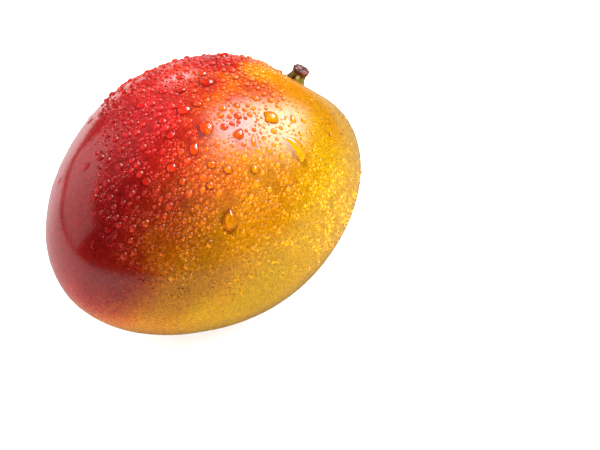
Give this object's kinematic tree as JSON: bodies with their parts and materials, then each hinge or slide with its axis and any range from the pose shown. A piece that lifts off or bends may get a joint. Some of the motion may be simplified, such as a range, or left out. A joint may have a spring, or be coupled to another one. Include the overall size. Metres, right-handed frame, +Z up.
{
  "type": "mango",
  "caption": "Ripe mango with a red to golden skin and a cut stalk stub, beaded with water drops, lying on its flank on a small flat spot.",
  "frame": {"origin": "middle of the small flat spot that the fruit rests on, straight below the fruit's centre", "axes": "+X along the fruit's length towards the stalk end, +Z up, out of the surface it rests on"},
  "size_m": [0.1268, 0.0986, 0.0861],
  "materials": {
    "mango_skin": "satin",
    "stalk_bark": "matte",
    "water": "polished"
  },
  "bodies": {
    "root": {"fruit": "mango_skin", "stem_stub": "stalk_bark"}
  },
  "joints": []
}
